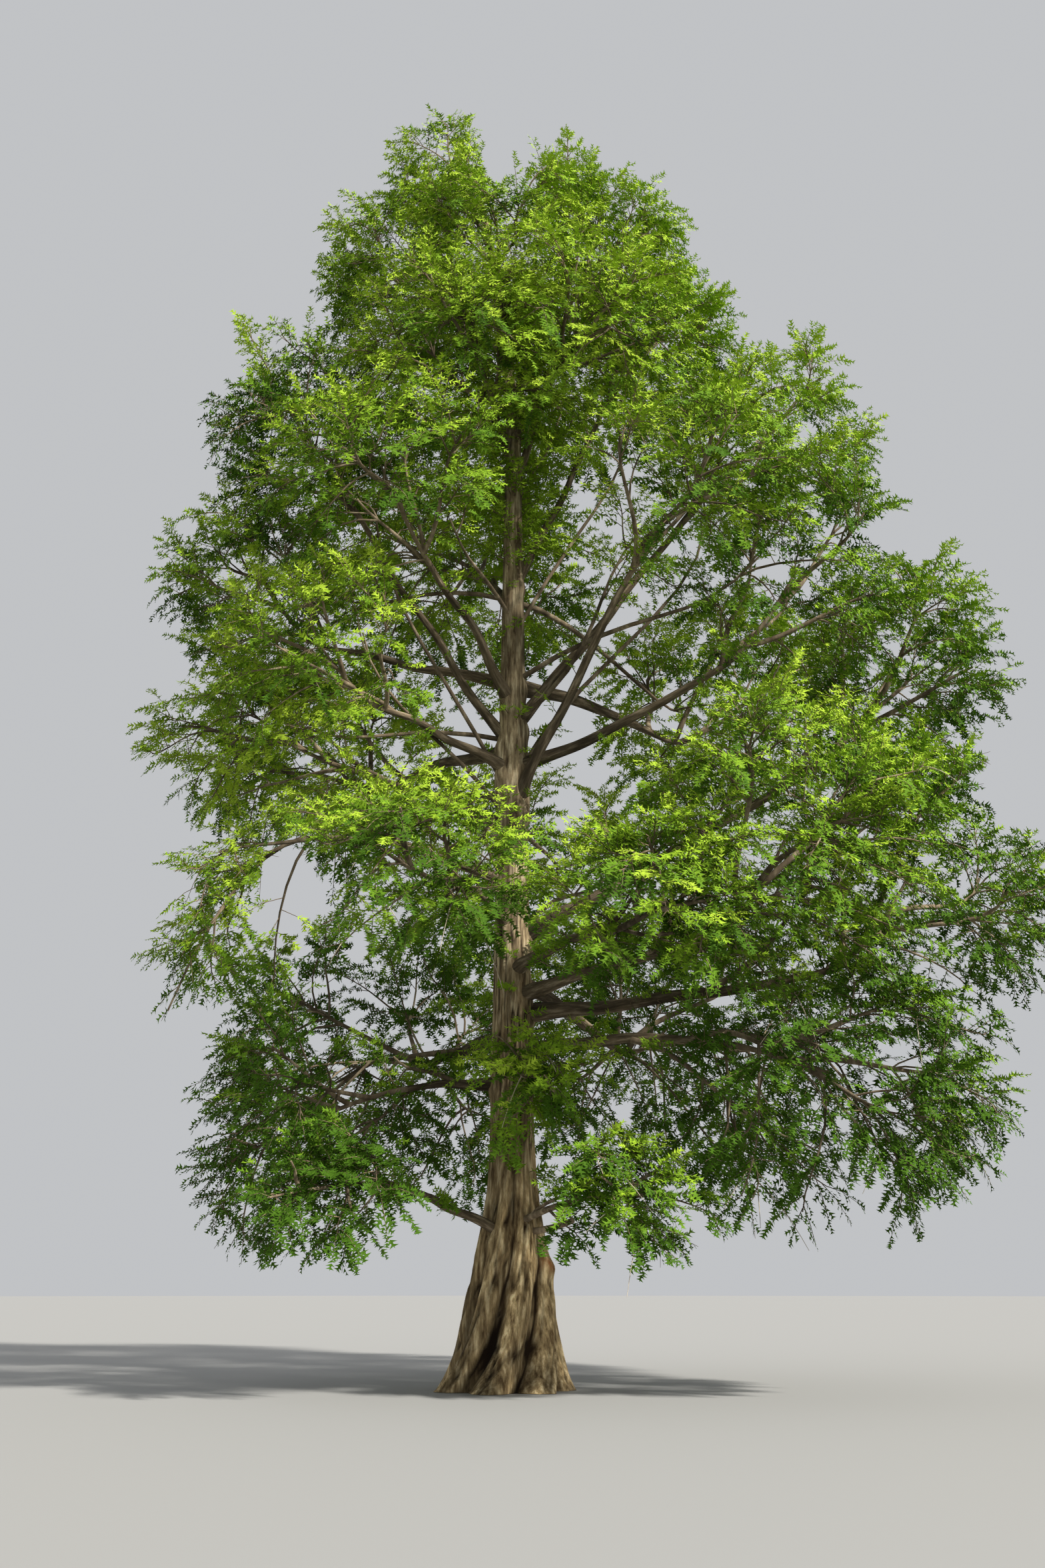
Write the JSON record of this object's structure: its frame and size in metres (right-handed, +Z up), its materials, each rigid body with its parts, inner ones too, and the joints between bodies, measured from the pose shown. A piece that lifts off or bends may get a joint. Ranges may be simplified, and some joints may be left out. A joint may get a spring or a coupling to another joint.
{
  "type": "dawn redwood tree",
  "caption": "Large park conifer with a fluted, flaring trunk, arching boughs and layered masses of feathery fresh green foliage; airy on one side, with two leaders at the top.",
  "frame": {"origin": "middle of the flat cut through the foot of the trunk, at ground level", "axes": "+Z up along the trunk; the pictured front faces -Y, with +X to the right as seen from there"},
  "size_m": [16.3637, 14.8997, 24.8237],
  "materials": {
    "bark": "fibrous, fluted, matt",
    "limb_bark": "rough, matt",
    "foliage": "soft needles, matt"
  },
  "bodies": {
    "root": {"trunk": "bark", "bough_crown_top_right": "limb_bark", "bough_crown_shoulder": "limb_bark", "bough_upper_right": "limb_bark", "bough_left_shoulder": "limb_bark", "bough_left_front_high": "limb_bark", "bough_right_high": "limb_bark", "bough_right_front_high": "limb_bark", "bough_left_mid": "limb_bark", "bough_left_front_mid": "limb_bark", "bough_right_mid": "limb_bark", "bough_right_far": "limb_bark", "bough_back_right": "limb_bark", "bough_back_left": "limb_bark", "bough_left_wide": "limb_bark", "bough_left_hanging": "limb_bark", "bough_front_left": "limb_bark", "bough_front_right": "limb_bark", "bough_right_front": "limb_bark", "bough_right_wide": "limb_bark", "bough_back_wide": "limb_bark", "bough_low_left": "limb_bark", "bough_low_left_front": "limb_bark", "bough_low_right": "limb_bark", "bough_low_back_left": "limb_bark", "bough_low_back_right": "limb_bark", "foliage_crown_top": "foliage", "foliage_crown_top_right": "foliage", "foliage_crown_shoulder": "foliage", "foliage_crown_front": "foliage", "foliage_upper_left": "foliage", "foliage_upper_front_left": "foliage", "foliage_upper_front_right": "foliage", "foliage_upper_right": "foliage", "foliage_upper_back": "foliage", "foliage_left_shoulder": "foliage", "foliage_left_front_high": "foliage", "foliage_right_high": "foliage", "foliage_right_front_high": "foliage", "foliage_high_back": "foliage", "foliage_left_mid": "foliage", "foliage_left_front_mid": "foliage", "foliage_right_mid": "foliage", "foliage_right_far": "foliage", "foliage_back_right": "foliage", "foliage_back_left": "foliage", "foliage_left_wide": "foliage", "foliage_left_hanging": "foliage", "foliage_front_left": "foliage", "foliage_front_right": "foliage", "foliage_right_front": "foliage", "foliage_right_wide": "foliage", "foliage_back_wide": "foliage", "foliage_low_left": "foliage", "foliage_low_left_front": "foliage", "foliage_low_front": "foliage", "foliage_low_front_right": "foliage", "foliage_low_right": "foliage", "foliage_low_back_left": "foliage", "foliage_low_back_right": "foliage"}
  },
  "joints": []
}
